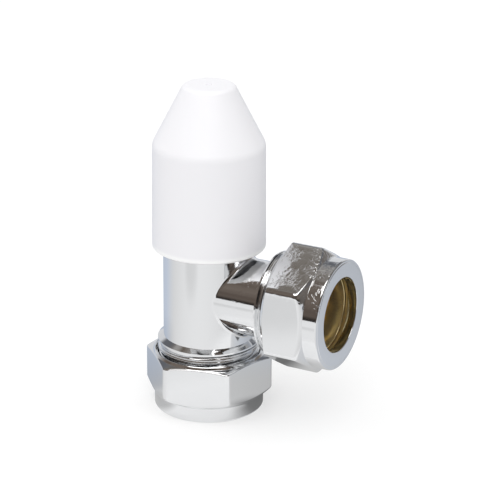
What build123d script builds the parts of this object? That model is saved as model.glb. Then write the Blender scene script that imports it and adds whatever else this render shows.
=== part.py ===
"""Angled lockshield radiator valve with two compression ends and a push-on cap.

The origin is the centre of the inlet nut's end face. +Z runs up the barrel and +X along the outlet branch.
All lengths are in millimetres and all angles in degrees.
"""
from build123d import *
import os
from math import atan2, cos, pi, radians, tan

# Pipe and thread that the ends are made for
pipe_dia = 15.0
thread_dia = 20.955
thread_pitch = 1.814
thread_depth = 1.162
cone_angle = 30.0

# Fits, all radial unless they say otherwise
pipe_clearance = 0.15
socket_clearance = 0.10
olive_clearance = 0.05
thread_clearance = 0.15
running_clearance = 0.08
seated_clearance = 0.05
olive_gap = 0.15
axial_play = 0.05

# Layout of the body
branch_height = 25.1
outlet_reach = 29.7
barrel_dia = 18.6
barrel_wall = 2.1
neck_wall = 2.3
branch_fillet = 0.9

# Compression ends, measured inwards from the nut's end face
mouth_depth = 7.0
inlet_bare_turns = 1.35
outlet_bare_turns = 1.02
flare_length = 0.7
socket_setback = 1.45
thread_runout = 0.3
mouth_lip = 1.1
end_chamfer = 0.5

# Compression nuts
nut_height = 12.3
nut_flat_wall = 0.97
nut_collar_height = 3.1
nut_collar_step = 0.38
nut_rim_height = 0.55
nut_rim_slant = 0.35
nut_rim_step = 0.12
nut_top_angle = 18.0
nut_corner_radius = 1.3
nut_edge_radius = 0.35
nut_bore_length = 2.2
nut_cone_lip = 1.55
nut_mouth_chamfer = 0.4
hex_chamfer_angle = 30.0
inlet_nut_turn = 15.0
outlet_nut_turn = 32.5

# Olives
olive_end_wall = 0.27
olive_thickness = 0.95

# Seat and jumper
seat_drop = 0.6
seat_lip = 1.0
seat_width = 0.9
seat_margin = 0.2
washer_thickness = 2.5
jumper_gap = 0.5
jumper_skirt = 0.45
jumper_skirt_height = 1.2
jumper_plate = 1.8
jumper_hub_dia = 8.4
jumper_hub_height = 5.7
jumper_floor = 1.2
jumper_stud_dia = 4.0
stud_tip = 0.4
washer_nut_flats = 7.0
washer_nut_height = 2.0

# Spindle
spindle_lift = 4.5
spindle_thread_dia = 9.2
stem_dia = 7.2
tail_dia = 5.0
square_side = 5.0
square_length = 5.0
square_chamfer = 0.5
stem_rise = 0.6

# Snap ring between spindle and jumper
clip_depth = 1.6
clip_thickness = 0.7
clip_width = 0.85
clip_bite = 0.5
clip_opening = 1.6

# Bonnet
chamber_headroom = 2.9
bonnet_thread_length = 7.5
bonnet_setback = 0.5
bonnet_wall = 1.7
seal_thickness = 0.8
seal_inset = 0.1
flange_thickness = 1.2
flange_inset = 0.8
bonnet_hex_inset = 0.15
bonnet_hex_height = 5.0
stem_guide_length = 3.5
boss_height = 5.0
boss_wall = 0.9

# Gland
packing_width = 1.4
packing_height = 3.2
gland_box_depth = 6.0
gland_ring_stand = 0.6
gland_nut_skirt = 4.6
gland_nut_roof = 1.8
gland_nut_wall = 0.75

# Cap
cap_overlap = 6.4
cap_skirt_height = 21.65
cap_cone_height = 12.15
cap_top_dia = 10.3
cap_wall = 1.7
cap_roof = 1.8
cap_gap = 0.54
cap_draft_angle = 0.5
cap_shoulder_radius = 3.0
cap_top_radius = 1.2
cap_rim_radius = 0.4
cap_rib_count = 6
cap_rib_width = 1.2
cap_rib_setback = 0.9
cap_stop_height = 3.5
cap_stop_clearance = 0.25
gate_dia = 1.2
gate_depth = 0.2

# Radii worked out from the sizes above
pipe_r = pipe_dia / 2
thread_r = thread_dia / 2
flank_r = thread_r - thread_depth / 2
socket_r = pipe_r + socket_clearance
mouth_r = flank_r - mouth_lip
barrel_r = barrel_dia / 2
chamber_r = barrel_r - barrel_wall
skirt_r = chamber_r - jumper_gap
skirt_bore_r = skirt_r - jumper_skirt
washer_r = skirt_bore_r - seated_clearance
seat_r = washer_r + seat_margin
waterway_r = seat_r - seat_width
neck_r = waterway_r + neck_wall
top_bore_r = barrel_r - bonnet_wall
bonnet_r = top_bore_r - seated_clearance
flange_r = barrel_r - flange_inset
cone_slope = tan(radians(cone_angle))
hex_slope = tan(radians(hex_chamfer_angle))
flat_to_corner = 1 / cos(pi / 6)

# Depths and heights worked out from the sizes above
inlet_flare_depth = nut_height + inlet_bare_turns * thread_pitch
outlet_flare_depth = nut_height + outlet_bare_turns * thread_pitch
shoulder_depth = inlet_flare_depth + flare_length
pipe_stop_depth = shoulder_depth - socket_setback
seat_z = branch_height - waterway_r - seat_drop
washer_top = seat_z + washer_thickness
plate_top = washer_top + jumper_plate
hub_top = plate_top + jumper_hub_height
chamber_top = branch_height + waterway_r + chamber_headroom
body_top = chamber_top + bonnet_thread_length
bonnet_bottom = chamber_top + bonnet_setback
seal_top = body_top + seal_thickness
flange_top = seal_top + flange_thickness
bonnet_hex_top = flange_top + bonnet_hex_height
boss_top = bonnet_hex_top + boss_height
box_bottom = boss_top - gland_box_depth
guide_bottom = box_bottom - stem_guide_length
gland_ring_top = boss_top + gland_ring_stand
gland_nut_top = gland_ring_top + gland_nut_roof
stem_top = gland_nut_top + stem_rise

# Planes at the two ends: local Z runs into the body
inlet_end = Plane(origin=(0, 0, 0), x_dir=(1, 0, 0), z_dir=(0, 0, 1))
outlet_end = Plane(origin=(outlet_reach, 0, branch_height), x_dir=(0, 1, 0), z_dir=(-1, 0, 0))
branch_root = Plane(origin=(0, 0, branch_height), x_dir=(0, 1, 0), z_dir=(1, 0, 0))


def section_of(end):
    """Half-section plane of an end: local X is the radius and local Y the depth along the axis."""
    return Plane(origin=end.origin, x_dir=end.x_dir, z_dir=-end.y_dir)


def axis_of(end):
    """Axis that runs into the body from an end."""
    return Axis(end.origin, end.z_dir)


def hex_envelope(flats, low, high, low_r, high_r, high_slope=hex_slope):
    """Half-section that chamfers a hexagon from low_r at its low end to high_r at its high end."""
    reach = flats / 2 * flat_to_corner
    low_corner = low + (reach - low_r) * hex_slope
    high_corner = high - (reach - high_r) * high_slope
    return [(0, low), (low_r, low), (reach, low_corner), (reach, high_corner), (high_r, high), (0, high)]


# Angle body: barrel, blended branch, two threaded ends, seat and bonnet bore in one stamping
with BuildPart() as valve_body:
    with BuildSketch(Plane.XY.offset(mouth_depth)):
        Circle(barrel_r)
    extrude(amount=body_top - mouth_depth)
    with BuildSketch(branch_root):
        Circle(neck_r)
    extrude(amount=outlet_reach - shoulder_depth)
    joint_edges = [e for e in valve_body.edges() if e.geom_type not in (GeomType.LINE, GeomType.CIRCLE)]
    fillet(joint_edges, branch_fillet)
    for end, root_r, flare_depth in (
        (inlet_end, barrel_r, inlet_flare_depth),
        (outlet_end, neck_r, outlet_flare_depth),
    ):
        with BuildSketch(section_of(end)):
            with BuildLine():
                Polyline(
                    (0, mouth_depth),
                    (flank_r - end_chamfer, mouth_depth),
                    (flank_r, mouth_depth + end_chamfer),
                    (flank_r, flare_depth - thread_runout),
                    (thread_r, flare_depth - thread_runout),
                    (thread_r, flare_depth),
                    (root_r, shoulder_depth),
                    (0, shoulder_depth),
                    close=True,
                )
            make_face()
        revolve(axis=axis_of(end))
    with BuildSketch(section_of(inlet_end)):
        with BuildLine():
            Polyline(
                (0, pipe_stop_depth),
                (waterway_r, pipe_stop_depth),
                (waterway_r, seat_z),
                (seat_r, seat_z),
                (seat_r, seat_z - seat_lip),
                (chamber_r, seat_z - seat_lip),
                (chamber_r, chamber_top),
                (top_bore_r, chamber_top),
                (top_bore_r, body_top),
                (0, body_top),
                close=True,
            )
        make_face()
    revolve(axis=axis_of(inlet_end), mode=Mode.SUBTRACT)
    with BuildSketch(branch_root):
        Circle(waterway_r)
    extrude(amount=outlet_reach - pipe_stop_depth, mode=Mode.SUBTRACT)
    for end in (inlet_end, outlet_end):
        with BuildSketch(section_of(end)):
            with BuildLine():
                Polyline(
                    (0, mouth_depth),
                    (mouth_r, mouth_depth),
                    (socket_r, mouth_depth + (mouth_r - socket_r) / cone_slope),
                    (socket_r, pipe_stop_depth),
                    (0, pipe_stop_depth),
                    close=True,
                )
            make_face()
        revolve(axis=axis_of(end), mode=Mode.SUBTRACT)


# Compression nuts: hexagon between a round collar and a low rim, with pipe bore, olive cone and cavity
nut_bore_r = pipe_r + pipe_clearance
nut_cavity_r = thread_r + thread_clearance
nut_flats = 2 * (nut_cavity_r + nut_flat_wall)
nut_collar_r = nut_flats / 2 - nut_collar_step
nut_rim_r = nut_flats / 2 - nut_rim_step
nut_hex_top = nut_height - nut_rim_height
nut_top_slope = tan(radians(nut_top_angle))
nut_cone_r = nut_bore_r + nut_cone_lip
nut_cone_end = nut_bore_length + nut_cone_lip / cone_slope


def compression_nut(end, turn):
    """Nut that faces out of an end, its hexagon turned about the end's axis."""
    with BuildPart() as nut:
        with BuildSketch(end) as hexagon:
            RegularPolygon(nut_flats / 2, 6, major_radius=False, rotation=turn)
            fillet(hexagon.vertices(), nut_corner_radius)
        extrude(amount=nut_hex_top)
        with BuildSketch(section_of(end)):
            with BuildLine():
                Polyline(
                    hex_envelope(
                        nut_flats,
                        nut_collar_height,
                        nut_hex_top,
                        nut_collar_r,
                        nut_rim_r,
                        nut_top_slope,
                    ),
                    close=True,
                )
            make_face()
        revolve(axis=axis_of(end), mode=Mode.INTERSECT)
        with BuildSketch(section_of(end)) as collar:
            Rectangle(nut_collar_r, nut_collar_height, align=Align.MIN)
            fillet(collar.vertices().sort_by_distance((nut_collar_r, 0))[0], nut_edge_radius)
        revolve(axis=axis_of(end))
        with BuildSketch(section_of(end)):
            with BuildLine():
                Polyline(
                    (0, nut_hex_top),
                    (nut_rim_r, nut_hex_top),
                    (nut_rim_r - nut_rim_slant, nut_height),
                    (0, nut_height),
                    close=True,
                )
            make_face()
        revolve(axis=axis_of(end))
        with BuildSketch(section_of(end)):
            with BuildLine():
                Polyline(
                    (0, 0),
                    (nut_bore_r, 0),
                    (nut_bore_r, nut_bore_length),
                    (nut_cone_r, nut_cone_end),
                    (nut_cavity_r, nut_cone_end),
                    (nut_cavity_r, nut_height - nut_mouth_chamfer),
                    (nut_cavity_r + nut_mouth_chamfer, nut_height),
                    (0, nut_height),
                    close=True,
                )
            make_face()
        revolve(axis=axis_of(end), mode=Mode.SUBTRACT)
    return nut.part


inlet_nut = compression_nut(inlet_end, inlet_nut_turn)
outlet_nut = compression_nut(outlet_end, outlet_nut_turn)


# Olives: double-coned rings between the nut's cone and the cone in the body's mouth
olive_bore_r = pipe_r + olive_clearance
olive_end_r = olive_bore_r + olive_end_wall
olive_crest_r = olive_bore_r + olive_thickness
olive_inset = olive_gap / cos(radians(cone_angle))
nut_cone_foot = nut_bore_length + (olive_inset - nut_bore_r) / cone_slope
mouth_cone_foot = mouth_depth + (mouth_r - olive_inset) / cone_slope


def olive(end):
    """Olive in an end, a gap clear of both cones."""
    with BuildPart() as ring:
        with BuildSketch(section_of(end)):
            with BuildLine():
                Polyline(
                    (olive_bore_r, nut_cone_foot + olive_end_r / cone_slope),
                    (olive_end_r, nut_cone_foot + olive_end_r / cone_slope),
                    (olive_crest_r, nut_cone_foot + olive_crest_r / cone_slope),
                    (olive_crest_r, mouth_cone_foot - olive_crest_r / cone_slope),
                    (olive_end_r, mouth_cone_foot - olive_end_r / cone_slope),
                    (olive_bore_r, mouth_cone_foot - olive_end_r / cone_slope),
                    close=True,
                )
            make_face()
        revolve(axis=axis_of(end))
    return ring.part


inlet_olive = olive(inlet_end)
outlet_olive = olive(outlet_end)


# Seat washer: rubber disc on the raised seat
stud_r = jumper_stud_dia / 2
with BuildPart() as seat_washer:
    with BuildSketch(Plane.XY.offset(seat_z)):
        Circle(washer_r)
        Circle(stud_r + seated_clearance, mode=Mode.SUBTRACT)
    extrude(amount=washer_thickness)

# Washer nut: small hexagon below the washer, inside the waterway
with BuildPart() as washer_nut:
    with BuildSketch(Plane.XY.offset(seat_z - washer_nut_height)):
        RegularPolygon(washer_nut_flats / 2, 6, major_radius=False)
        Circle(stud_r + seated_clearance, mode=Mode.SUBTRACT)
    extrude(amount=washer_nut_height)

# Snap ring between the spindle's tail and the jumper's hub
tail_r = tail_dia / 2
clip_inner_r = tail_r - clip_bite
clip_outer_r = clip_inner_r + clip_width
clip_low = hub_top - clip_depth
with BuildPart() as jumper_clip:
    with BuildSketch(Plane.XY.offset(clip_low)):
        Circle(clip_outer_r)
        Circle(clip_inner_r, mode=Mode.SUBTRACT)
        Rectangle(2 * clip_outer_r, clip_opening, align=(Align.MIN, Align.CENTER), mode=Mode.SUBTRACT)
    extrude(amount=clip_thickness)

# Jumper: skirted plate over the washer, stud below it and a hub that swivels on the spindle's tail
hub_r = jumper_hub_dia / 2
hub_bore_r = tail_r + running_clearance
clip_room_r = clip_outer_r + running_clearance
with BuildPart() as jumper:
    with BuildSketch(section_of(inlet_end)):
        with BuildLine():
            Polyline(
                (0, seat_z - washer_nut_height - stud_tip),
                (stud_r, seat_z - washer_nut_height - stud_tip),
                (stud_r, washer_top),
                (skirt_bore_r, washer_top),
                (skirt_bore_r, washer_top - jumper_skirt_height),
                (skirt_r, washer_top - jumper_skirt_height),
                (skirt_r, plate_top),
                (hub_r, plate_top),
                (hub_r, hub_top),
                (hub_bore_r, hub_top),
                (hub_bore_r, clip_low + clip_thickness + axial_play),
                (clip_room_r, clip_low + clip_thickness + axial_play),
                (clip_room_r, clip_low - axial_play),
                (hub_bore_r, clip_low - axial_play),
                (hub_bore_r, plate_top + jumper_floor),
                (0, plate_top + jumper_floor),
                close=True,
            )
        make_face()
    revolve(axis=axis_of(inlet_end))

# Spindle: tail in the jumper, screw thread in the bonnet, stem through the gland, square for the key
stem_r = stem_dia / 2
spindle_thread_r = spindle_thread_dia / 2
spindle_thread_top = guide_bottom - spindle_lift - axial_play
tail_bottom = plate_top + jumper_floor + axial_play
with BuildPart() as spindle:
    with BuildSketch(section_of(inlet_end)):
        with BuildLine():
            Polyline(
                (0, tail_bottom),
                (tail_r, tail_bottom),
                (tail_r, clip_low),
                (clip_inner_r, clip_low),
                (clip_inner_r, clip_low + clip_thickness),
                (tail_r, clip_low + clip_thickness),
                (tail_r, hub_top + axial_play),
                (spindle_thread_r, hub_top + axial_play),
                (spindle_thread_r, spindle_thread_top),
                (stem_r, spindle_thread_top),
                (stem_r, stem_top),
                (0, stem_top),
                close=True,
            )
        make_face()
    revolve(axis=axis_of(inlet_end))
    with BuildSketch(Plane.XY.offset(stem_top)):
        Rectangle(square_side, square_side)
    extrude(amount=square_length)
    chamfer(spindle.faces().sort_by(Axis.Z)[-1].edges(), square_chamfer)

# Bonnet seal: flat ring between the top of the barrel and the bonnet's flange
with BuildPart() as bonnet_seal:
    with BuildSketch(Plane.XY.offset(body_top)):
        Circle(flange_r - seal_inset)
        Circle(bonnet_r + seated_clearance, mode=Mode.SUBTRACT)
    extrude(amount=seal_thickness)

# Bonnet: screwed into the barrel, with a spanner hexagon, the spindle's thread and the gland box
stem_bore_r = stem_r + running_clearance
box_r = stem_bore_r + packing_width
boss_r = box_r + boss_wall
bonnet_corner_r = flange_r - bonnet_hex_inset
bonnet_flats = 2 * bonnet_corner_r / flat_to_corner
with BuildPart() as bonnet:
    with BuildSketch(Plane.XY.offset(flange_top)):
        RegularPolygon(bonnet_corner_r, 6)
    extrude(amount=bonnet_hex_height)
    with BuildSketch(section_of(inlet_end)):
        with BuildLine():
            Polyline(
                hex_envelope(bonnet_flats, flange_top, bonnet_hex_top, bonnet_flats / 2, bonnet_flats / 2),
                close=True,
            )
        make_face()
    revolve(axis=axis_of(inlet_end), mode=Mode.INTERSECT)
    with BuildSketch(section_of(inlet_end)):
        with BuildLine():
            Polyline(
                (0, bonnet_bottom),
                (bonnet_r, bonnet_bottom),
                (bonnet_r, seal_top),
                (flange_r, seal_top),
                (flange_r, flange_top),
                (boss_r, flange_top),
                (boss_r, boss_top),
                (0, boss_top),
                close=True,
            )
        make_face()
    revolve(axis=axis_of(inlet_end))
    with BuildSketch(section_of(inlet_end)):
        with BuildLine():
            Polyline(
                (0, bonnet_bottom),
                (spindle_thread_r + running_clearance, bonnet_bottom),
                (spindle_thread_r + running_clearance, guide_bottom),
                (stem_bore_r, guide_bottom),
                (stem_bore_r, box_bottom),
                (box_r, box_bottom),
                (box_r, boss_top),
                (0, boss_top),
                close=True,
            )
        make_face()
    revolve(axis=axis_of(inlet_end), mode=Mode.SUBTRACT)

# Gland packing and the follower ring that presses it
packing_top = box_bottom + packing_height
with BuildPart() as gland_packing:
    with BuildSketch(Plane.XY.offset(box_bottom)):
        Circle(box_r - seated_clearance)
        Circle(stem_bore_r, mode=Mode.SUBTRACT)
    extrude(amount=packing_height)
with BuildPart() as gland_ring:
    with BuildSketch(Plane.XY.offset(packing_top)):
        Circle(box_r - seated_clearance)
        Circle(stem_bore_r, mode=Mode.SUBTRACT)
    extrude(amount=gland_ring_top - packing_top)

# Gland nut: capped hexagon on the bonnet's boss
gland_cavity_r = boss_r + seated_clearance
gland_nut_flats = 2 * (gland_cavity_r + gland_nut_wall)
gland_nut_bottom = gland_ring_top - gland_nut_skirt
with BuildPart() as gland_nut:
    with BuildSketch(Plane.XY.offset(gland_nut_bottom)):
        RegularPolygon(gland_nut_flats / 2, 6, major_radius=False)
    extrude(amount=gland_nut_top - gland_nut_bottom)
    with BuildSketch(section_of(inlet_end)):
        with BuildLine():
            Polyline(
                hex_envelope(
                    gland_nut_flats,
                    gland_nut_bottom,
                    gland_nut_top,
                    gland_nut_flats / 2,
                    gland_nut_flats / 2,
                ),
                close=True,
            )
        make_face()
    revolve(axis=axis_of(inlet_end), mode=Mode.INTERSECT)
    with BuildSketch(section_of(inlet_end)):
        with BuildLine():
            Polyline(
                (0, gland_nut_bottom),
                (gland_cavity_r, gland_nut_bottom),
                (gland_cavity_r, gland_ring_top),
                (stem_bore_r, gland_ring_top),
                (stem_bore_r, gland_nut_top),
                (0, gland_nut_top),
                close=True,
            )
        make_face()
    revolve(axis=axis_of(inlet_end), mode=Mode.SUBTRACT)

# Cap: tapered skirt and cone top, hollow, with ribs that grip the barrel and stop on its top
cap_rim = body_top - cap_overlap
cap_shoulder = cap_rim + cap_skirt_height
cap_top = cap_shoulder + cap_cone_height
cap_rim_r = barrel_r + cap_gap + cap_wall
cap_shoulder_r = cap_rim_r - cap_skirt_height * tan(radians(cap_draft_angle))
cap_top_r = cap_top_dia / 2
cone_half_angle = atan2(cap_shoulder_r - cap_top_r, cap_cone_height)
cone_inset = cap_wall / cos(cone_half_angle)
inner_shoulder = cap_shoulder - (cone_inset - cap_wall) / tan(cone_half_angle)
inner_top = cap_top - cap_roof
inner_top_r = cap_top_r + cap_roof * tan(cone_half_angle) - cone_inset
rib_root_r = cap_shoulder_r - cap_wall / 2
stop_r = flange_r + cap_stop_clearance
with BuildPart() as lockshield_cap:
    with BuildSketch(section_of(inlet_end)) as outside:
        with BuildLine():
            Polyline(
                (0, cap_rim),
                (cap_rim_r, cap_rim),
                (cap_shoulder_r, cap_shoulder),
                (cap_top_r, cap_top),
                (0, cap_top),
                close=True,
            )
        make_face()
        fillet(outside.vertices().sort_by_distance((cap_rim_r, cap_rim))[0], cap_rim_radius)
        fillet(outside.vertices().sort_by_distance((cap_shoulder_r, cap_shoulder))[0], cap_shoulder_radius)
        fillet(outside.vertices().sort_by_distance((cap_top_r, cap_top))[0], cap_top_radius)
    revolve(axis=axis_of(inlet_end))
    with BuildSketch(section_of(inlet_end)):
        with BuildLine():
            Polyline(
                (0, cap_rim),
                (cap_rim_r - cap_wall, cap_rim),
                (cap_shoulder_r - cap_wall, inner_shoulder),
                (inner_top_r, inner_top),
                (0, inner_top),
                close=True,
            )
        make_face()
    revolve(axis=axis_of(inlet_end), mode=Mode.SUBTRACT)
    with BuildSketch(Plane.XY.offset(cap_rim + cap_rib_setback)):
        with PolarLocations((stop_r + rib_root_r) / 2, cap_rib_count):
            Rectangle(rib_root_r - stop_r, cap_rib_width)
    extrude(amount=body_top + cap_stop_height - cap_rim - cap_rib_setback)
    with BuildSketch(Plane.XY.offset(cap_rim)):
        Circle(barrel_r + seated_clearance)
    extrude(amount=cap_overlap, mode=Mode.SUBTRACT)
    with BuildSketch(Plane.XY.offset(cap_top)):
        Circle(gate_dia / 2)
    extrude(amount=-gate_depth, mode=Mode.SUBTRACT)

# One file for each piece, named after it
pieces = {
    "valve_body": valve_body.part,
    "inlet_nut": inlet_nut,
    "outlet_nut": outlet_nut,
    "inlet_olive": inlet_olive,
    "outlet_olive": outlet_olive,
    "seat_washer": seat_washer.part,
    "washer_nut": washer_nut.part,
    "jumper_clip": jumper_clip.part,
    "jumper": jumper.part,
    "spindle": spindle.part,
    "bonnet_seal": bonnet_seal.part,
    "bonnet": bonnet.part,
    "gland_packing": gland_packing.part,
    "gland_ring": gland_ring.part,
    "gland_nut": gland_nut.part,
    "lockshield_cap": lockshield_cap.part,
}
os.makedirs("parts", exist_ok=True)
for name, piece in pieces.items():
    piece.label = name
    export_step(piece, f"parts/{name}.step")
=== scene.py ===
# %% [markdown]
# # Angled lockshield radiator valve
# A chrome-plated brass valve with two compression nuts and a white push-on cap. The packed solids are
# the fixed frame, in metres: the origin is the centre of the bottom nut's end face, +Z runs up the barrel
# and +X along the side branch. This lesson dresses that frame: rounded nuts, cut threads, plating, brass,
# plastic, and a small white studio with the camera where the photograph was taken from.

# %% Load the frame
import bpy
import math
import numpy as np
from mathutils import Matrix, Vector


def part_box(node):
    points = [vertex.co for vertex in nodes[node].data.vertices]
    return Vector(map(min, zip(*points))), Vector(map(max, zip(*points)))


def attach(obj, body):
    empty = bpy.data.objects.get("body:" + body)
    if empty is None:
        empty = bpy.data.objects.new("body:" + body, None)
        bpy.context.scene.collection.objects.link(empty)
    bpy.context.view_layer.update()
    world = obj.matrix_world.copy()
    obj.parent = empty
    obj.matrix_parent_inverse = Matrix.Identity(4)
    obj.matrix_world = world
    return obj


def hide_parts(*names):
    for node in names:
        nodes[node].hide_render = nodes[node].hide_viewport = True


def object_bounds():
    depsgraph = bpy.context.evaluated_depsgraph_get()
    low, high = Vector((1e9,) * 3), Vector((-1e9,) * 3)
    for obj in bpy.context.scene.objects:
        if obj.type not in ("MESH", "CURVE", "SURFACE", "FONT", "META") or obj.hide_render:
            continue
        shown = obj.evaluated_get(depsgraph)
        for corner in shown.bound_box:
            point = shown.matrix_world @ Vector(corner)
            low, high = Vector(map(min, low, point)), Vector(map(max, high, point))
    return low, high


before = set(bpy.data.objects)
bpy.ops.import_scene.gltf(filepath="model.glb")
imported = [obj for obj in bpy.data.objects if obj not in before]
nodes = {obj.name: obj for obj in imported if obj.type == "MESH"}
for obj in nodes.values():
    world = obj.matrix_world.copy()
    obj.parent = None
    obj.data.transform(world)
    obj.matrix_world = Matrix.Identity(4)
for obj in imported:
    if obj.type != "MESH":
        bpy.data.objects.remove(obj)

cad_low, cad_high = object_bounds()
extent = [round(1000 * (high - low), 2) for low, high in zip(cad_low, cad_high)]
print("frame:", len(nodes), "solids, box in mm", extent)

# %% [markdown]
# ## The camera
# It is placed first. The photograph is a long lens
# from above and to the right: 28.6 degrees round from the front, 24.9 degrees up, 0.48 m away. It aims
# a little over the foot of the valve, and the frame is shifted so that the valve stands left of centre.

# %% Camera
def photo_camera(distance, around, up, tilt, lens, shift):
    """Camera at distance from the origin: around is the turn from -Y towards +X, up the elevation.

    It looks back along its own turn and tilt degrees down, with the lens in mm on a 36 mm sensor.
    """
    data = bpy.data.cameras.new("photo_camera")
    data.sensor_width = 36.0
    data.lens = lens
    data.shift_x = shift
    data.clip_start = 0.01
    obj = bpy.data.objects.new("photo_camera", data)
    a, e = math.radians(around), math.radians(up)
    obj.location = (
        distance * math.sin(a) * math.cos(e),
        -distance * math.cos(a) * math.cos(e),
        distance * math.sin(e),
    )
    obj.rotation_euler = (math.radians(90 - tilt), 0, a)
    bpy.context.scene.collection.objects.link(obj)
    bpy.context.scene.camera = obj
    return obj


camera = photo_camera(distance=0.480, around=28.577, up=24.874, tilt=21.153, lens=166.1, shift=0.082)
print("camera at", [round(v, 4) for v in camera.location])

# %% [markdown]
# ## Sizes that the new pieces share with the frame
# The nuts, olives and threads are worked out again as smooth surfaces, so their sizes are written here
# once, in millimetres, as the solids have them. Depths are measured inwards from a nut's end face.

# %% Sizes
# The G1/2 thread: the plain ends of the solids stop at the pitch radius, FLANK
PITCH, THREAD_DEPTH = 1.814, 1.162
CREST = 20.955 / 2
FLANK = CREST - THREAD_DEPTH / 2

# The nut, from its end face: round collar, hexagon, low slanted rim
NUT_HEIGHT, COLLAR_HEIGHT = 12.3, 3.1
RIM_HEIGHT, RIM_SLANT = 0.55, 0.35
HEX_TOP = NUT_HEIGHT - RIM_HEIGHT
THREAD_PLAY, NUT_WALL, COLLAR_STEP, RIM_STEP = 0.15, 0.97, 0.38, 0.12
CAVITY = CREST + THREAD_PLAY
HALF_FLATS = CAVITY + NUT_WALL
COLLAR, RIM = HALF_FLATS - COLLAR_STEP, HALF_FLATS - RIM_STEP
BORE, BORE_LENGTH, CONE_LIP = 7.65, 2.2, 1.55

# The body's ends: the cone mouth for the olive, the turns of thread that show, and where the branch lies
MOUTH_DEPTH, END_WALL = 7.0, 1.1
MOUTH = FLANK - END_WALL
SHOWN_TURNS = {"inlet": 1.35, "outlet": 1.02}
BRANCH_HEIGHT, OUTLET_REACH = 25.1, 29.7

# Slopes: the cones and the collar's chamfer have 30 degrees, the hexagon's other chamfer 18
TAN_30 = math.tan(math.radians(30))
TOP_SLOPE = math.tan(math.radians(18))
print("nut across flats", round(2 * HALF_FLATS, 3), "mm, thread crest radius", CREST, "mm")


# %% [markdown]
# ## From a grid of points to a mesh
# Every new piece is a grid: one direction runs round an axis, the other along a section. The grid is
# computed as whole arrays, and its quads are joined up by index arithmetic. Where the section is a
# closed loop too, the grid closes on itself in both directions, like a ring doughnut.

# %% Grid helpers
def ring_mesh(name, points, parts=None):
    """Mesh from points[i, j]: i runs round the axis and j round the section, and both close up.

    Quad (i, j) joins (i, j), (i+1, j), (i+1, j+1), (i, j+1). parts gives each j its material number.
    """
    n, m, _ = points.shape
    i, j = np.meshgrid(np.arange(n), np.arange(m), indexing="ij")
    next_i, next_j = (i + 1) % n, (j + 1) % m
    quads = np.stack([i * m + j, next_i * m + j, next_i * m + next_j, i * m + next_j], axis=-1).reshape(-1, 4)
    mesh = bpy.data.meshes.new(name)
    mesh.vertices.add(n * m)
    mesh.vertices.foreach_set("co", (points.reshape(-1, 3) / 1000).astype(np.float32).ravel())
    mesh.loops.add(quads.size)
    mesh.loops.foreach_set("vertex_index", quads.astype(np.int32).ravel())
    mesh.polygons.add(len(quads))
    mesh.polygons.foreach_set("loop_start", np.arange(0, quads.size, 4, dtype=np.int32))
    mesh.polygons.foreach_set("use_smooth", np.ones(len(quads), dtype=bool))
    if parts is not None:
        mesh.polygons.foreach_set("material_index", np.tile(parts, n).astype(np.int32))
    mesh.update(calc_edges=True)
    mesh.validate()
    obj = bpy.data.objects.new(name, mesh)
    bpy.context.scene.collection.objects.link(obj)
    print(name, len(quads), "quads")
    return obj


def on_end(end, radius, angle, depth):
    """Point at a radius, angle and depth of an end, as x, y, z in the frame, in millimetres.

    The inlet's axis is +Z, with angle 0 at +X and 90 degrees at +Y. The outlet's axis is -X, with angle 0
    at +Y and 90 degrees at -Z, so that its three directions keep a right hand too.
    """
    across, other = radius * np.cos(angle), radius * np.sin(angle)
    if end == "inlet":
        return np.stack([across, other, depth + 0 * across], axis=-1)
    return np.stack([OUTLET_REACH - depth + 0 * across, across, BRANCH_HEIGHT - other], axis=-1)


print("centre of the outlet's end face in mm", on_end("outlet", 0.0, 0.0, 0.0))

# %% [markdown]
# ## The compression nuts
# A plated nut has no sharp edge: the hexagon, its chamfers and the round collar run into each other in
# small soft curves, and those curves carry the bright lines of the plating. A solid cut by planes and
# cones can't show them, and a bevel can't follow where a cone crosses a flat. So each nut is one surface:
# at each angle the hexagon gives a radius, the turned outline gives another, and a smooth minimum of the
# two blends them where they meet. First come the three rules that this needs.

# %% Rules for the nut
CORNER = 1.3
CORNER_STEPS = 5


def hexagon_radius(angle, half_flats, corner):
    """Radius of a hexagon with rounded corners: half_flats / cos on a flat, and a circle at a corner.

    The corner's circle has radius corner and its centre lies (half_flats - corner) / cos 30 out.
    """
    from_corner = (angle + math.pi / 6) % (math.pi / 3) - math.pi / 6
    from_flat = math.pi / 6 - np.abs(from_corner)
    centre = (half_flats - corner) / math.cos(math.pi / 6)
    inside = np.clip(corner ** 2 - (centre * np.sin(from_corner)) ** 2, 0, None)
    edge = math.atan((half_flats - corner) * TAN_30 / half_flats)
    return np.where(
        from_flat < edge, half_flats / np.cos(from_flat), centre * np.cos(from_corner) + np.sqrt(inside)
    )


def soft_minimum(a, b, blend):
    """The smaller of a and b, rounded off where they are within blend of each other."""
    near = np.clip(blend - np.abs(a - b), 0, None) / blend
    return np.minimum(a, b) - near ** 2 * blend / 4


def rounded_path(corners, steps=CORNER_STEPS):
    """Points along a closed polyline whose corners (r, depth, radius) are turned as quadratic curves.

    A curve starts and ends the corner's radius away from it, or 0.45 of the shorter side if that is less.
    """
    out = []
    for before, here, after in zip(corners[-1:] + corners[:-1], corners, corners[1:] + corners[:1]):
        p = np.array(here[:2])
        back, ahead = np.array(before[:2]) - p, np.array(after[:2]) - p
        cut = min(here[2], 0.45 * np.linalg.norm(back), 0.45 * np.linalg.norm(ahead))
        a, b = p + back / np.linalg.norm(back) * cut, p + ahead / np.linalg.norm(ahead) * cut
        t = np.linspace(0, 1, steps)[:, None]
        out.append((1 - t) ** 2 * a + 2 * t * (1 - t) * p + t ** 2 * b)
    return np.concatenate(out)


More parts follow.
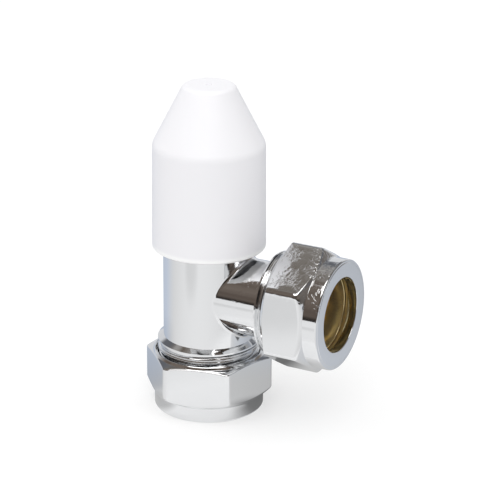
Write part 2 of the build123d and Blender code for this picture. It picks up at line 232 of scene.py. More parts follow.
corner_reach = hexagon_radius(np.zeros(1), HALF_FLATS, CORNER)[0]
print("hexagon:", round(HALF_FLATS, 3), "mm to a flat,", round(float(corner_reach), 3), "mm to a corner")

# %% [markdown]
# The outside and the inside of a nut are worked out apart. The outside depends on the angle, because of
# the hexagon. The inside is turned, so one section of it serves all round. The rows of the outside lie
# closer together where the outline bends.

# %% Outside and inside of a nut
FOOT_ROUND, FACE_INSET = 0.35, 0.75
MOUTH_CHAMFER, PLATED_MOUTH = 0.4, 3.0
# How widely hexagon and outline blend: at the collar, up its chamfer within BLEND_RAMP, and at the rim
COLLAR_BLEND, CHAMFER_BLEND, RIM_BLEND, BLEND_RAMP = 0.4, 0.9, 0.55, 0.25
RIM_START, RIM_LIFT = 0.02, 0.04
TOP_ROUND, TOP_DROP = 0.14, 0.05
# Rows of the outside: first depth, last depth, how many
NUT_ROWS = [
    (0.45, 2.9, 6), (2.98, 3.4, 9), (3.45, 4.5, 16), (4.7, 10.7, 12),
    (10.85, HEX_TOP, 26), (HEX_TOP + 0.03, NUT_HEIGHT, 14),
]


def nut_outside(angle, depth):
    """Radius at each angle and depth: soft_minimum(hexagon, turned outline).

    The outline is the collar with its 30 degree chamfer, and at the other end the 18 degree chamfer and
    the slanted rim. The blend grows from the collar up its chamfer. The rim is lifted back to the outline
    as far as RIM_LIFT goes, and its last edge drops by TOP_DROP.
    """
    collar_side = np.where(depth < COLLAR_HEIGHT, COLLAR, COLLAR + (depth - COLLAR_HEIGHT) / TAN_30)
    rim_side = np.where(
        depth < HEX_TOP,
        RIM + (HEX_TOP - depth) / TOP_SLOPE,
        RIM - RIM_SLANT * (depth - HEX_TOP) / RIM_HEIGHT,
    )
    outline = np.minimum(collar_side, rim_side)[None, :]
    ramp = np.clip((depth - COLLAR_HEIGHT) / BLEND_RAMP, 0, 1)
    blend = np.where(
        depth < NUT_HEIGHT / 2, COLLAR_BLEND + (CHAMFER_BLEND - COLLAR_BLEND) * ramp, RIM_BLEND
    )
    hexagon = hexagon_radius(angle, HALF_FLATS, CORNER)[:, None]
    softened = soft_minimum(hexagon, outline, blend[None, :])
    radius = np.where(depth < HEX_TOP - RIM_START, softened, np.minimum(softened + RIM_LIFT, outline))
    top = np.clip((depth - NUT_HEIGHT + TOP_ROUND) / TOP_ROUND, 0, 1)
    radius = radius - TOP_DROP * top ** 2
    return np.where(depth < COLLAR_HEIGHT, np.minimum(radius, COLLAR), radius)


def nut_inside():
    """Section from the rim over the mouth, cavity, olive cone and bore to the end face.

    Each corner is (radius, depth, rounding).
    """
    cone_end = BORE_LENGTH + CONE_LIP / TAN_30
    return rounded_path([
        (RIM - RIM_SLANT - TOP_DROP, NUT_HEIGHT, 0.02),
        (CAVITY + MOUTH_CHAMFER, NUT_HEIGHT, 0.03),
        (CAVITY, NUT_HEIGHT - MOUTH_CHAMFER, 0.12),
        (CAVITY, NUT_HEIGHT - PLATED_MOUTH, 0.02),
        (CAVITY, cone_end, 0.2),
        (BORE + CONE_LIP, cone_end, 0.1),
        (BORE, BORE_LENGTH, 0.25),
        (BORE, 0.0, 0.16),
        (COLLAR - FACE_INSET, 0.0, 0.05),
    ])


print("nut section:", sum(row[2] for row in NUT_ROWS), "rows outside,", len(nut_inside()), "points inside")

# %% [markdown]
# Both nuts are this one design, turned by different angles as they happened to be tightened. Plating
# reaches a little way into the mouth, and the inside from there to the bore's inner edge is bare brass, so
# those quads get a second material.

# %% Nuts
# The inside is bare from its fourth corner, the end of the plated mouth, to its seventh, at the bore
BRASS_CORNERS = 4, 7


def compression_nut(name, end, turn):
    """Closed nut: a quarter round at the foot, the outside up to the rim, and the inside back down."""
    angle = np.radians(np.arange(0, 360, 1.0))
    arc = np.linspace(0, math.pi / 2, 9)
    foot = np.stack(
        [COLLAR - FOOT_ROUND + FOOT_ROUND * np.sin(arc), FOOT_ROUND - FOOT_ROUND * np.cos(arc)], axis=-1
    )
    depth = np.concatenate([np.linspace(*row) for row in NUT_ROWS])
    outside = nut_outside(angle - math.radians(turn), depth)
    inside = nut_inside()
    radius = np.concatenate([
        np.tile(foot[:, 0], (len(angle), 1)), outside, np.tile(inside[:, 0], (len(angle), 1)),
    ], axis=1)
    along = np.concatenate([foot[:, 1], depth, inside[:, 1]])
    points = on_end(end, radius, angle[:, None], along[None, :])
    inside_number = np.arange(len(along)) - len(foot) - len(depth)
    brass_from, brass_to = (CORNER_STEPS * corner - 1 for corner in BRASS_CORNERS)
    parts = ((inside_number >= brass_from) & (inside_number < brass_to)).astype(int)
    nut = ring_mesh(name, points, parts)
    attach(nut, name.replace("_dressed", ""))
    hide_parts(name.replace("_dressed", ""))
    return nut


nuts = [
    compression_nut("inlet_nut_dressed", "inlet", 15.0),
    compression_nut("outlet_nut_dressed", "outlet", 32.5),
]

# %% [markdown]
# ## The olives
# An olive is the brass ring that the nut squeezes onto the pipe. The front edge of the outlet's olive shows
# inside the nut as a thin bright line, which needs an edge that is turned round. The ring has the solid's
# section, carried round the axis, with small rounds at its corners.

# %% Olives
OLIVE_BORE, OLIVE_END, OLIVE_CREST = 7.55, 7.82, 8.5
OLIVE_GAP, OLIVE_STEPS = 0.15, 7


def rounded_olive(name, end):
    """Double-coned ring: bore, end face, cone, crest, cone, end face, carried round the axis.

    Its corners are rounded by up to 0.22 mm, and it stands OLIVE_GAP clear of the nut's cone and the body's.
    """
    inset = OLIVE_GAP / math.cos(math.pi / 6)
    front = BORE_LENGTH + (OLIVE_END + inset - BORE) / TAN_30
    rise = (OLIVE_CREST - OLIVE_END) / TAN_30
    back = MOUTH_DEPTH + (MOUTH - inset - OLIVE_END) / TAN_30
    section = rounded_path([
        (OLIVE_BORE, front, 0.22), (OLIVE_END, front, 0.08), (OLIVE_CREST, front + rise, 0.15),
        (OLIVE_CREST, back - rise, 0.15), (OLIVE_END, back, 0.08), (OLIVE_BORE, back, 0.15),
    ], OLIVE_STEPS)
    angle = np.linspace(0, 2 * math.pi, 240, endpoint=False)
    points = on_end(end, section[None, :, 0], angle[:, None], section[None, :, 1])
    ring = ring_mesh(name, points)
    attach(ring, end + "_ring")
    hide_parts(end + "_olive")
    return ring


olives = [rounded_olive(end + "_olive_dressed", end) for end in ("inlet", "outlet")]

# %% [markdown]
# ## The threads of the ends
# Above the bottom nut a turn and a bit of the pipe thread shows. A thread could be a profile swept along a
# helix. It is simpler as a radius that rises and falls along the depth and shifts by one pitch in a turn.
# The sleeve below follows that rule over the plain cylinder of the solid and sinks into it at both ends,
# where the real thread runs out.

# %% Thread sleeves
ROOT_SHARE, FLANK_SHARE, FLANK_BEND = 0.12, 0.34, 0.35
START_FADE, STOP_FADE = 0.7, 0.12
SUNK, SLEEVE_WALL = 0.06, 0.5
MARK_PITCH, MARK_HEIGHT = 0.58, 0.080
MOUTH_CLEAR, FLARE_CLEAR, CREST_CLEAR = 0.3, 0.28, 0.02


def thread_sleeve(name, end, start, stop, low, high, pitch):
    """Radius from low to high with a wave of depth / pitch - angle / turn, faded at both ends.

    The wave is a triangle whose lowest ROOT_SHARE is cut off as the root. It rises over FLANK_SHARE in a
    slightly bent flank and stays at the top as a broad crest. Fine marks of the cutting tool run over it
    as a small sine along the depth.
    """
    angle = np.linspace(0, 2 * math.pi, 180, endpoint=False)
    depth = np.linspace(start, stop, 120)
    phase = (depth[None, :] / pitch - angle[:, None] / (2 * math.pi)) % 1.0
    wave = 1 - np.abs(2 * phase - 1)
    ridge = np.clip((wave - ROOT_SHARE) / FLANK_SHARE, 0, 1)
    ridge = ridge * ridge * (3 - 2 * ridge) * FLANK_BEND + ridge * (1 - FLANK_BEND)
    fade = np.clip((depth - start) / START_FADE, 0, 1) * np.clip((stop - depth) / STOP_FADE, 0, 1)
    radius = low - SUNK + (high - low + SUNK) * ridge * fade[None, :]
    radius = radius + MARK_HEIGHT * (np.sin(2 * math.pi * depth / MARK_PITCH) - 1)[None, :]
    radius = np.concatenate([radius, np.full((len(angle), 2), low - SLEEVE_WALL)], axis=1)
    along = np.concatenate([depth, [stop, start]])
    sleeve = ring_mesh(name, on_end(end, radius, angle[:, None], along[None, :]))
    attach(sleeve, "body")
    return sleeve


threads = [
    thread_sleeve(
        end + "_thread", end, start=MOUTH_DEPTH + MOUTH_CLEAR, stop=NUT_HEIGHT + turns * PITCH - FLARE_CLEAR,
        low=FLANK, high=CREST - CREST_CLEAR, pitch=PITCH,
    )
    for end, turns in SHOWN_TURNS.items()
]


# %% [markdown]
# ## Node helpers for the finishes
# All finishes are procedural and read Object coordinates, so they sit on the metal and plastic in every
# pose. A small wrapper adds a node, sets its inputs and links it, which keeps each finish short.

# %% Node wrapper
class Sheet:
    """A node tree with a short way of adding nodes: add(type, inputs by name or number, settings)."""

    def __init__(self, tree):
        self.tree = tree

    def add(self, kind, inputs=None, **settings):
        """New node: settings are its own properties, inputs are linked or set."""
        node = self.tree.nodes.new(kind)
        for key, value in settings.items():
            setattr(node, key, value)
        for key, value in (inputs or {}).items():
            if isinstance(value, bpy.types.NodeSocket):
                self.tree.links.new(value, node.inputs[key])
            else:
                node.inputs[key].default_value = value
        return node

    def math(self, operation, a, b=0.0, clamp=False):
        """One step of arithmetic."""
        return self.add("ShaderNodeMath", {0: a, 1: b}, operation=operation, use_clamp=clamp).outputs[0]

    def times(self, a, b):
        """a times b."""
        return self.math("MULTIPLY", a, b)

    def without(self, value):
        """1 - value."""
        return self.math("SUBTRACT", 1.0, value)

    def hypot(self, a, b):
        """Square root of a squared plus b squared."""
        return self.math("SQRT", self.math("ADD", self.times(a, a), self.times(b, b)))

    def mix(self, factor, a, b):
        """Colour a at factor 0, colour b at factor 1."""
        node = self.add("ShaderNodeMix", {"Factor": factor}, data_type="RGBA")
        for number, value in ((6, a), (7, b)):
            if isinstance(value, bpy.types.NodeSocket):
                self.tree.links.new(value, node.inputs[number])
            else:
                node.inputs[number].default_value = (*value, 1)
        return node.outputs[2]

    def step(self, value, low, high):
        """Smooth step: 0 below low, 1 above high."""
        node = self.add("ShaderNodeMapRange", {"Value": value, "From Min": low, "From Max": high})
        node.interpolation_type = "SMOOTHSTEP"
        return node.outputs["Result"]

    def noise(self, place, scale, detail=2.0, distortion=0.0):
        """Noise from 0 to 1, with about scale grains along one unit of place."""
        values = {"Vector": place, "Scale": scale, "Detail": detail, "Distortion": distortion}
        return self.add("ShaderNodeTexNoise", values).outputs[0]

    def dot(self, vector, way):
        """How far vector points along way."""
        node = self.add("ShaderNodeVectorMath", {0: vector, 1: way}, operation="DOT_PRODUCT")
        return node.outputs["Value"]

    def split(self, vector):
        """x, y and z of a vector."""
        return self.add("ShaderNodeSeparateXYZ", {0: vector}).outputs

    def place(self):
        """Object coordinates, in metres."""
        return self.add("ShaderNodeTexCoord").outputs["Object"]


def new_finish(name):
    """Empty node material with its Principled shader, as (material, sheet, shader)."""
    material = bpy.data.materials.new(name)
    material.use_nodes = True
    sheet = Sheet(material.node_tree)
    return material, sheet, material.node_tree.nodes["Principled BSDF"]


def add_bump(sheet, shader, height):
    """Bump from a height in metres."""
    bump = sheet.add("ShaderNodeBump", {"Height": height, "Strength": 1.0, "Distance": 1.0})
    sheet.tree.links.new(bump.outputs[0], shader.inputs["Normal"])


print("node wrapper with", len([name for name in vars(Sheet) if name[0] != "_"]), "short ways")

# %% [markdown]
# ## A shared grain
# Plated and turned metal is never perfectly even. One node group gives the slow waviness of a polished
# casting, the fine orange peel of the plating, small pits, and a cloudiness for the roughness. Each metal
# uses it with its own amounts.

# %% Grain group
WAVE_METRES, PEEL_METRES, PIT_METRES = 1.0e-5, 1.0e-6, 1.1e-5
PIT_EDGE, PIT_CHANCE = (0.40, 0.66), (0.36, 0.62)


def grain_group():
    """Group: Vector, Waviness, Peel, Pits in; Height and Cloud out. Heights are in metres.

    Height is waviness plus peel minus pits, each a noise times its amount. Pits come where a second,
    coarser noise allows them, so that they lie in groups.
    """
    group = bpy.data.node_groups.new("metal_grain", "ShaderNodeTree")
    face = group.interface
    face.new_socket("Vector", in_out="INPUT", socket_type="NodeSocketVector")
    for name, value in (("Waviness", 1.0), ("Peel", 1.0), ("Pits", 0.0)):
        face.new_socket(name, in_out="INPUT", socket_type="NodeSocketFloat").default_value = value
    face.new_socket("Height", in_out="OUTPUT", socket_type="NodeSocketFloat")
    face.new_socket("Cloud", in_out="OUTPUT", socket_type="NodeSocketFloat")
    g = Sheet(group)
    source = g.add("NodeGroupInput").outputs
    place = source["Vector"]
    slow = g.noise(place, 170.0, detail=1.0)
    fine = g.noise(place, 1100.0)
    spots = g.noise(place, 1300.0, detail=3.0, distortion=0.9)
    cloud = g.noise(place, 260.0, detail=4.0)
    chance = g.step(g.noise(place, 330.0), *PIT_CHANCE)
    pit = g.times(g.step(spots, *PIT_EDGE), chance)
    height = g.times(g.times(slow, source["Waviness"]), WAVE_METRES)
    height = g.math("ADD", height, g.times(g.times(fine, source["Peel"]), PEEL_METRES))
    height = g.math("SUBTRACT", height, g.times(g.times(pit, source["Pits"]), PIT_METRES))
    g.add("NodeGroupOutput", {"Height": height, "Cloud": cloud})
    return group


grain = grain_group()
print("group", grain.name, "with", len(grain.nodes), "nodes")

# %% [markdown]
# The photograph shows pits on the upper faces of the side nut and on the neck of the branch, and hardly any
# on the barrel. So a material can give the pits a mask by place. The limits below are in metres.

# %% Where the pits are
COLLAR_X, COLLAR_Z = (0.0263, 0.0267), (0.0285, 0.0300)
UPPER_Z, BACK_Y, BACK_LOSS = (0.0300, 0.0330), (0.0, 0.003), 0.75
BRANCH_X, BARREL_SHARE, BRANCH_GAIN = (0.0080, 0.0105), 0.15, 0.85


def nut_top(sheet, x, y, z):
    """1 on the upper front faces of the outlet nut and of its collar, a quarter at the back, 0 below."""
    collar = sheet.times(sheet.step(x, *COLLAR_X), sheet.step(z, *COLLAR_Z))
    upper = sheet.math("MAXIMUM", sheet.step(z, *UPPER_Z), collar)
    return sheet.times(upper, sheet.without(sheet.times(sheet.step(y, *BACK_Y), BACK_LOSS)))


def branch_side(sheet, x, y, z):
    """BARREL_SHARE on the barrel, rising to 1 where the branch leaves it."""
    return sheet.math("ADD", sheet.times(sheet.step(x, *BRANCH_X), BRANCH_GAIN), BARREL_SHARE)


def add_grain(sheet, waviness, peel, pits, where=None):
    """The grain on Object coordinates, as (Height, Cloud, place), with its pits times the mask where."""
    place = sheet.place()
    if where is not None:
        pits = sheet.times(where(sheet, *sheet.split(place)), pits)
    values = {"Vector": place, "Waviness": waviness, "Peel": peel, "Pits": pits}
    node = sheet.add("ShaderNodeGroup", values, node_tree=grain)
    return node.outputs["Height"], node.outputs["Cloud"], place


print("pit masks:", nut_top.__name__, "and", branch_side.__name__)

# %% [markdown]
# ## Chrome plating over brass
# The outside of the body and nuts is bright plating: a metal with a slightly cool grey colour and a very
# low roughness. A perfect mirror would look too clean, so the shared grain goes into its height and
# roughness. The bores are bare brass, because plating hardly reaches into a narrow hole. The body is one
# piece, so there a mask tells bore from outside by the distance from the two axes.

# %% Chrome
CHROME = (0.735, 0.742, 0.752)
BRASS = (0.84, 0.69, 0.39)
POLISH, CLOUDING, BARE_ROUGH = 0.035, 0.05, 0.2
TINT_LOW, TINT_HIGH = 0.985, 1.01
BARREL_RADIUS = 0.00895
WATERWAY_START, WATERWAY_RADIUS = 0.004, 0.0062
MOUTH_START, MOUTH_RADIUS = 0.0153, 0.0089


def bare_bores(sheet, x, y, z):
    """1 within the body's barrel, branch waterway and branch mouth, 0 outside. Limits are in metres."""
    from_branch = sheet.hypot(sheet.math("SUBTRACT", z, BRANCH_HEIGHT / 1000), y)
    bare = sheet.math("LESS_THAN", sheet.hypot(x, y), BARREL_RADIUS)
    for start, radius in ((WATERWAY_START, WATERWAY_RADIUS), (MOUTH_START, MOUTH_RADIUS)):
        beyond = sheet.math("GREATER_THAN", x, start)
        hole = sheet.times(beyond, sheet.math("LESS_THAN", from_branch, radius))
        bare = sheet.math("MAXIMUM", bare, hole)
    return bare


def chrome_finish(name, pits, bores=None, where=None):
    """Plating with grain: the mask bores turns it to bare brass, the mask where says how deep pits go."""
    material, s, shader = new_finish(name)
    height, cloud, place = add_grain(s, waviness=1.0, peel=1.0, pits=pits, where=where)
    rough = s.math("ADD", s.times(cloud, CLOUDING), POLISH)
    if bores is not None:
        bare = bores(s, *s.split(place))
        colour = s.mix(bare, CHROME, BRASS)
        rough = s.math("ADD", rough, s.times(bare, BARE_ROUGH))
    else:
        colour = s.mix(cloud, tuple(TINT_LOW * c for c in CHROME), tuple(TINT_HIGH * c for c in CHROME))
    shader.inputs["Metallic"].default_value = 1.0
    s.tree.links.new(colour, shader.inputs["Base Color"])
    s.tree.links.new(rough, shader.inputs["Roughness"])
    add_bump(s, shader, height)
    return material


chrome_body = chrome_finish("chrome_body", pits=0.9, bores=bare_bores, where=branch_side)
chrome_plain = chrome_finish("chrome_plain", pits=0.0)
chrome_pitted = chrome_finish("chrome_pitted", pits=2.6, where=nut_top)
print("plating:", [m.name for m in (chrome_body, chrome_plain, chrome_pitted)])

# %% [markdown]
# ## Turned brass
# The olives, the headwork and the inside of the nuts are brass off a lathe. Its tool leaves fine rings,
# and the metal dulls in clouds. A wave texture gives the rings and the shared grain gives the clouds.

# %% Brass
DULL, TARNISH, TARNISH_ROUGH, RING_METRES = 0.72, (0.35, 0.75), 0.16, 1.2e-6


def brass_finish(name, colour, rough, rings, metallic=1.0):
    """Turned brass: a wave texture of scale rings along Z in the height, and cloudy tarnish."""
    material, s, shader = new_finish(name)
    height, cloud, place = add_grain(s, waviness=0.4, peel=2.0, pits=0.0)
    dull = tuple(DULL * c for c in colour)
    s.tree.links.new(s.mix(s.step(cloud, *TARNISH), colour, dull), shader.inputs["Base Color"])
    shader.inputs["Metallic"].default_value = metallic
    s.tree.links.new(s.math("ADD", s.times(cloud, TARNISH_ROUGH), rough), shader.inputs["Roughness"])
    wave = s.add("ShaderNodeTexWave", {"Vector": place, "Scale": rings, "Distortion": 0.6, "Detail": 1.0})
    wave.bands_direction = "Z"
    add_bump(s, shader, s.math("ADD", height, s.times(wave.outputs[1], RING_METRES)))
    return material


bare_brass = brass_finish("bare_brass", BRASS, rough=0.24, rings=900.0, metallic=0.88)
olive_brass = brass_finish("olive_brass", (0.94, 0.80, 0.47), rough=0.08, rings=900.0, metallic=0.88)
turned_brass = brass_finish("turned_brass", (0.72, 0.54, 0.23), rough=0.22, rings=700.0)
print("brass:", [m.name for m in (bare_brass, olive_brass, turned_brass)])

# %% [markdown]
# ## The cap's plastic and the small parts
# The cap is a moulded white plastic with a satin skin: a soft highlight, a trace of texture from the
# mould, and a slightly cool white. Its thin lower edge is painted paler: painted light, for the light from
# the floor below that shines on and through the edge. Under it are rubber, packing and spring steel, seen
# only when the cap is pulled off or the valve is taken apart. They differ in numbers alone, so one function
# makes all four.

# %% Plastic, rubber, packing, steel
SATIN_CLOUDING = 0.08
# Painted light: the paler colour of the cap's thin lower edge, and the heights over which it fades in
PAINTED_EDGE_LIGHT, EDGE_LIGHT_FADE = (0.985, 0.985, 0.985), (0.0004, 0.0014)


def satin_finish(name, colour, other, rough, scale, depth, edge=None, metallic=0.0):
    """Two near colours in slow clouds, uneven gloss and a fine bump of depth metres.

    edge is a height in metres: the thin edge just above it is painted paler, painted light from the floor
    below.
    """
    material, s, shader = new_finish(name)
    place = s.place()
    cloud = s.noise(place, 90.0, detail=3.0)
    skin = s.noise(place, scale)
    tone = s.mix(cloud, colour, other)
    if edge is not None:
        # Painted light: the thin edge just above edge gets a paler colour, for the light from the floor below
        z = s.split(place)[2]
        tone = s.mix(s.step(z, edge + EDGE_LIGHT_FADE[0], edge + EDGE_LIGHT_FADE[1]), PAINTED_EDGE_LIGHT, tone)
    s.tree.links.new(tone, shader.inputs["Base Color"])
    s.tree.links.new(s.math("ADD", s.times(cloud, SATIN_CLOUDING), rough), shader.inputs["Roughness"])
    shader.inputs["Metallic"].default_value = metallic
    add_bump(s, shader, s.times(skin, depth))
    return material


# Painted light on the cap: its thin lower edge is painted paler, for the light from the floor below
white_plastic = satin_finish(
    "white_plastic", (0.87, 0.865, 0.89), (0.885, 0.88, 0.905),
    rough=0.36, scale=2500.0, depth=6e-7, edge=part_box("lockshield_cap")[0][2],
)
rubber = satin_finish(
    "seal_rubber", (0.018, 0.018, 0.019), (0.032, 0.031, 0.03), rough=0.62, scale=1800.0, depth=4e-6
)
packing = satin_finish(
    "gland_packing", (0.74, 0.72, 0.66), (0.82, 0.80, 0.74), rough=0.55, scale=1500.0, depth=5e-6
)
steel = satin_finish(
    "spring_steel", (0.52, 0.52, 0.54), (0.60, 0.60, 0.61),
    rough=0.24, scale=3000.0, depth=1e-6, metallic=1.0,
)
print("small parts:", [m.name for m in (white_plastic, rubber, packing, steel)])

# %% [markdown]
# ## Finishes onto the pieces
# A solid takes its finish in its first material slot. A dressed nut has two: plating first, then the bare
# brass that its inner quads ask for.

# %% Finishes on the pieces
FINISH_OF_NODE = {
    "valve_body": chrome_body,
    "lockshield_cap": white_plastic,
    "bonnet": turned_brass,
    "spindle": turned_brass,
    "gland_nut": turned_brass,
    "gland_ring": turned_brass,
    "jumper": turned_brass,
    "washer_nut": turned_brass,
    "inlet_olive": olive_brass,
    "outlet_olive": olive_brass,
    "seat_washer": rubber,
    "bonnet_seal": rubber,
    "gland_packing": packing,
    "jumper_clip": steel,
    "inlet_nut": chrome_plain,
    "outlet_nut": chrome_pitted,
}
for name, finish in FINISH_OF_NODE.items():
    nodes[name].data.materials.clear()
    nodes[name].data.materials.append(finish)
for nut, plating in zip(nuts, (chrome_plain, chrome_pitted)):
    nut.data.materials.append(plating)
    nut.data.materials.append(bare_brass)
for sleeve in threads:
    sleeve.data.materials.append(chrome_plain)
for ring in olives:
    ring.data.materials.append(olive_brass)
print("finishes on", len(FINISH_OF_NODE), "solids and", len(nuts + threads + olives), "new pieces")


# %% [markdown]
# ## The floor
# The valve stands on white. The floor is a diffuse white that takes the shadow, and it also glows a little
# for the rays that look at it, from the camera or by way of the chrome, which brings it up to white without
# putting more light on the valve.

# %% Floor
def plane(name, half, z):
    """Flat square of the stage at height z, half its side each way, in metres.

    It rides with the bottom nut's ring, so it stays under that nut when it is screwed down.
    """
    mesh = bpy.data.meshes.new(name)
    corners = [(-half, -half, z), (half, -half, z), (half, half, z), (-half, half, z)]
    mesh.from_pydata(corners, [], [(0, 1, 2, 3)])
    obj = bpy.data.objects.new(name, mesh)
    bpy.context.scene.collection.objects.link(obj)
    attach(obj, "inlet_ring")
    return obj


def stage_finish(name):
    """Node material without the Principled shader, as (material, sheet)."""
    material, sheet, shader = new_finish(name)
    sheet.tree.nodes.remove(shader)
    return material, sheet


def show(sheet, node):
    """The node's shader becomes the surface."""
    sheet.tree.links.new(node.outputs[0], sheet.tree.nodes["Material Output"].inputs["Surface"])


def seen_level(sheet, given, seen):
    """Strength seen for camera, glossy and transmission rays, and given for the rest."""
    path = sheet.add("ShaderNodeLightPath").outputs
    looking = sheet.math("ADD", path["Is Camera Ray"], path["Is Glossy Ray"])
    looking = sheet.math("ADD", looking, path["Is Transmission Ray"], clamp=True)
    values = {"Factor": looking, 2: given, 3: seen}
    return sheet.add("ShaderNodeMix", values, data_type="FLOAT").outputs[0]


def floor_finish(albedo, lift, bounce, shine):
    """Diffuse white, plus an emission: lift for the rays that look at it, bounce for diffuse ones.

    Reflections see a little more of it, by shine.
    """
    material, s = stage_finish("studio_floor")
    base = s.add("ShaderNodeBsdfDiffuse", {"Color": (albedo, albedo, albedo, 1)})
    mirrored = s.add("ShaderNodeLightPath").outputs["Is Glossy Ray"]
    strength = s.math("ADD", seen_level(s, bounce, lift), s.times(mirrored, shine))
    glow = s.add("ShaderNodeEmission", {"Strength": strength})
    show(s, s.add("ShaderNodeAddShader", {0: base.outputs[0], 1: glow.outputs[0]}))
    return material


floor = plane("studio_floor", 3.0, 0.0)
floor.data.materials.append(floor_finish(albedo=0.55, lift=0.46, bounce=0.05, shine=0.045))
print("floor of", floor.dimensions[0], "m")


# %% [markdown]
# ## The room in the reflections
# Chrome shows what is round it, and the photographed valve shows a dim brown studio: dark in front, with a
# darker corner and a dark foot, pale grey clouds high up behind, a dark band under them and white below.
# A dome that only reflections see carries those tones by direction, so they light nothing.

# %% Room
ROOM_RADIUS, CLOUD_SCALE = 2.4, 2.4
# Colours, as pairs where one fades into the other
FRONT_BROWN = (0.115, 0.09, 0.075), (0.20, 0.165, 0.14)
BACK_CLOUDS = (0.175, 0.152, 0.128), (0.50, 0.49, 0.475)
DARK_BAND = (0.15, 0.157, 0.175)
LOW_BACK = (0.80, 0.81, 0.83), (0.19, 0.17, 0.155)
GLOOM, GLOOM_DEPTH, GLOOM_WAY = (0.012, 0.011, 0.011), 0.85, (0.434, -0.797, 0.421)
# Where they fade: in the clouds, towards the dark corner, by height, to the right and to the back
FRONT_FADE, BACK_FADE = (0.35, 0.65), (0.42, 0.60)
CORNER_FADE, FOOT_FADE = (0.93, 0.985), (0.04, 0.20)
BAND_TOP, BAND_FOOT = (0.66, 0.80), (0.40, 0.54)
RIGHT_FADE, BEHIND_FADE = (0.15, 0.50), (-0.35, 0.35)


def only_reflected(obj):
    """The object is seen by glossy rays alone."""
    obj.visible_camera = False
    obj.visible_diffuse = False
    obj.visible_shadow = False
    obj.visible_transmission = False
    obj.visible_volume_scatter = False


def dome(name, radius, rings=24, around=48):
    """Half sphere open below: points radius * (cos e cos a, cos e sin a, sin e)."""
    e = np.linspace(0.0, math.pi / 2 - 0.01, rings)[:, None]
    a = np.linspace(0, 2 * math.pi, around, endpoint=False)[None, :]
    p = np.stack([np.cos(e) * np.cos(a), np.cos(e) * np.sin(a), np.sin(e) + 0 * a], axis=-1) * radius
    i, j = np.meshgrid(np.arange(rings - 1) * around, np.arange(around), indexing="ij")
    above, beside = i + around, (j + 1) % around
    quads = np.stack([i + j, above + j, above + beside, i + beside], axis=-1)
    mesh = bpy.data.meshes.new(name)
    mesh.from_pydata(p.reshape(-1, 3).tolist(), [], quads.reshape(-1, 4).tolist())
    obj = bpy.data.objects.new(name, mesh)
    bpy.context.scene.collection.objects.link(obj)
    return obj


def room_finish():
    """Emission by direction, as unit x, y, z.

    In front it is brown in clouds, nearly black towards GLOOM_WAY and at the foot. Behind, from the top
    down, it is grey clouds, a dark band, then white, which turns brown to the right.
    """
    material, s = stage_finish("studio_room")
    unit = s.add("ShaderNodeVectorMath", {0: s.place()}, operation="NORMALIZE").outputs[0]
    x, y, z = s.split(unit)
    clouds = s.noise(unit, CLOUD_SCALE, detail=3.0)
    front = s.mix(s.step(clouds, *FRONT_FADE), *FRONT_BROWN)
    corner = s.step(s.dot(unit, GLOOM_WAY), *CORNER_FADE)
    gloom = s.math("MAXIMUM", corner, s.without(s.step(z, *FOOT_FADE)))
    front = s.mix(s.times(gloom, GLOOM_DEPTH), front, GLOOM)
    back = s.mix(s.step(clouds, *BACK_FADE), *BACK_CLOUDS)
    back = s.mix(s.step(z, *BAND_TOP), DARK_BAND, back)
    low = s.mix(s.step(x, *RIGHT_FADE), *LOW_BACK)
    back = s.mix(s.step(z, *BAND_FOOT), low, back)
    colour = s.mix(s.step(y, *BEHIND_FADE), front, back)
    show(s, s.add("ShaderNodeEmission", {"Color": colour, "Strength": 1.0}))
    return material


room = dome("studio_room", ROOM_RADIUS)
room.data.materials.append(room_finish())
only_reflected(room)
print("room of", len(room.data.polygons), "quads")

# %% [markdown]
# ## The sweep in the reflections
# The lower half of every upright chrome face shows the ground round the valve: grey behind, paler in front,
# and dark close to the valve, where the valve keeps the light off. Painting that into the real floor would
# show in the picture. So a second sheet lies just above it, again for reflections alone, and is clear in
# front of the side nut, where the real floor is reflected.

# %% Sweep
SWEEP_HEIGHT, SWEEP_HALF = 0.0004, 1.5
# Levels: all round, then close to the valve on the left, beside it on the right and at its foot
MIDDLE_LEVEL, LEVEL_SWING, BACK_WAY = 0.785, 0.24, math.radians(94)
LEFT_NEAR, BESIDE_LOSS, FOOT_LEVEL = 0.66, 0.72, 0.84
# Rings round the barrel's axis in metres: the foot, the shade, and the shade that also lies in front
FOOT_RING, SHADE_RING, FRONT_RING = (0.0135, 0.0200), (0.018, 0.055), (0.014, 0.019)
# Sides: to the right, from the front to beside the valve, and by direction from the front to the side
RIGHT_X, BESIDE_Y, SIDE_TURN = (-0.005, 0.010), (-0.010, 0.000), (-0.55, -0.1)
# A soft dark spot in front on the left
SPOT, SPOT_FADE, SPOT_LOSS = (-0.024, -0.092), (0.012, 0.034), 0.15
# Cool grey by direction from front to back, which returns on the right further out
COOL_GREY, COOL_TURN, COOL_RING, COOL_RETURN = (0.90, 0.995, 1.16), (-0.45, 0.35), (0.024, 0.045), 0.5
# The clear place in front of the side nut, and where it ends to the left and at the back
CLEAR_CENTRE, CLEAR_FADE = (0.018, 0.0), (0.030, 0.042)
CLEAR_LEFT, CLEAR_BACK = (0.004, 0.008), (-0.010, -0.006)


def distance_from(sheet, x, y, centre):
    """Distance on the floor from a centre, in metres."""
    return sheet.hypot(sheet.math("SUBTRACT", x, centre[0]), sheet.math("SUBTRACT", y, centre[1]))


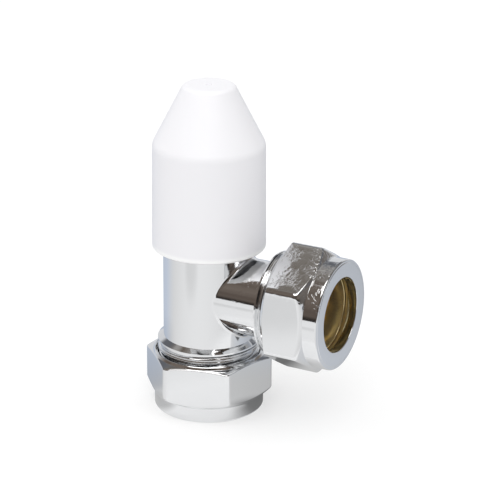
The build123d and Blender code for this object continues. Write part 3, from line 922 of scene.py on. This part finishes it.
def sweep_level(s, x, y, behind, reach, right):
    """MIDDLE_LEVEL - LEVEL_SWING times behind, darker near the valve and in one soft spot in front.

    behind is 1 at the back and -1 in front, reach the distance from the barrel's axis, right 1 at +X.
    """
    level = s.math("SUBTRACT", MIDDLE_LEVEL, s.times(behind, LEVEL_SWING))
    beside = s.without(s.times(s.step(y, *BESIDE_Y), BESIDE_LOSS))
    foot = s.math("MAXIMUM", beside, s.times(s.step(reach, *FOOT_RING), FOOT_LEVEL))
    near = s.math("ADD", s.times(s.math("SUBTRACT", foot, LEFT_NEAR), right), LEFT_NEAR)
    fade = {"Value": reach, "From Min": SHADE_RING[0], "From Max": SHADE_RING[1], "To Min": near}
    shade = s.add("ShaderNodeMapRange", fade).outputs["Result"]
    wide = s.math("MAXIMUM", s.step(behind, *SIDE_TURN), s.without(s.step(reach, *FRONT_RING)))
    dark = s.times(s.without(shade), wide)
    spot = s.without(s.step(distance_from(s, x, y, SPOT), *SPOT_FADE))
    return s.math("SUBTRACT", s.times(level, s.without(dark)), s.times(spot, SPOT_LOSS))


def sweep_finish():
    """Emission of sweep_level, white in front and cooler behind, less so on the right near the valve.

    It is clear within CLEAR_FADE of CLEAR_CENTRE, apart from what lies behind or to the left.
    """
    material, s = stage_finish("grey_sweep")
    place = s.place()
    x, y, _ = s.split(place)
    unit = s.add("ShaderNodeVectorMath", {0: place}, operation="NORMALIZE").outputs[0]
    behind = s.dot(unit, (math.cos(BACK_WAY), math.sin(BACK_WAY), 0.0))
    reach = distance_from(s, x, y, (0.0, 0.0))
    right = s.step(x, *RIGHT_X)
    level = sweep_level(s, x, y, behind, reach, right)
    plain = s.without(s.times(s.step(reach, *COOL_RING), COOL_RETURN))
    cool = s.times(s.step(behind, *COOL_TURN), s.without(s.times(right, plain)))
    tint = s.mix(cool, (1.0, 1.0, 1.0), COOL_GREY)
    glow = s.add("ShaderNodeEmission", {"Color": tint, "Strength": level})
    clear = s.add("ShaderNodeBsdfTransparent")
    left = s.step(s.times(x, -1.0), *CLEAR_LEFT)
    kept = s.math("MAXIMUM", left, s.step(y, *CLEAR_BACK))
    shown = s.math("MAXIMUM", s.step(distance_from(s, x, y, CLEAR_CENTRE), *CLEAR_FADE), kept)
    show(s, s.add("ShaderNodeMixShader", {0: shown, 1: clear.outputs[0], 2: glow.outputs[0]}))
    return material


sweep = plane("grey_sweep", SWEEP_HALF, SWEEP_HEIGHT)
sweep.data.materials.append(sweep_finish())
only_reflected(sweep)
print("sweep of", sweep.dimensions[0], "m")


# %% [markdown]
# ## Lamps and world
# Soft studio light comes from broad panels. The key lamp in front on the right and the broad lamp overhead
# light the plastic and the floor, and chrome doesn't show them. The top lamp does the opposite: it gives the
# chrome its white streaks and lights nothing diffuse. The world is white to look at and gives the rest.

# %% Lamps and world
LAMP_AIM = (0.0, 0.0, 0.03)


def soft_lamp(name, place, width, depth, watts):
    """Rectangular lamp at place that faces LAMP_AIM."""
    data = bpy.data.lights.new(name, "AREA")
    data.shape = "RECTANGLE"
    data.size, data.size_y, data.energy = width, depth, watts
    obj = bpy.data.objects.new(name, data)
    obj.location = place
    way = np.array(LAMP_AIM) - np.array(place)
    obj.rotation_euler = Vector(way).to_track_quat("-Z", "Y").to_euler()
    bpy.context.scene.collection.objects.link(obj)
    return obj


def studio_world(level):
    """White for the rays that look at it, and level for the light that it gives."""
    world = bpy.data.worlds.new("studio_world")
    world.use_nodes = True
    s = Sheet(world.node_tree)
    background = s.tree.nodes["Background"]
    background.inputs["Color"].default_value = (1, 1, 1, 1)
    s.tree.links.new(seen_level(s, level, 1.0), background.inputs["Strength"])
    bpy.context.scene.world = world


key = soft_lamp("key_lamp", (0.38, -0.86, 0.74), width=0.70, depth=0.70, watts=2.0)
key.visible_glossy = False
broad = soft_lamp("broad_lamp", (-0.08, -0.45, 1.00), width=1.50, depth=1.30, watts=3.9)
broad.visible_glossy = False
top = soft_lamp("top_lamp", (0.12, -0.36, 1.00), width=1.02, depth=0.55, watts=5.5)
top.visible_diffuse = False
studio_world(level=0.87)
bpy.context.scene.view_settings.view_transform = "Standard"
print("lamps:", [(lamp.name, round(lamp.data.energy, 2), "W") for lamp in (key, broad, top)])

# %% [markdown]
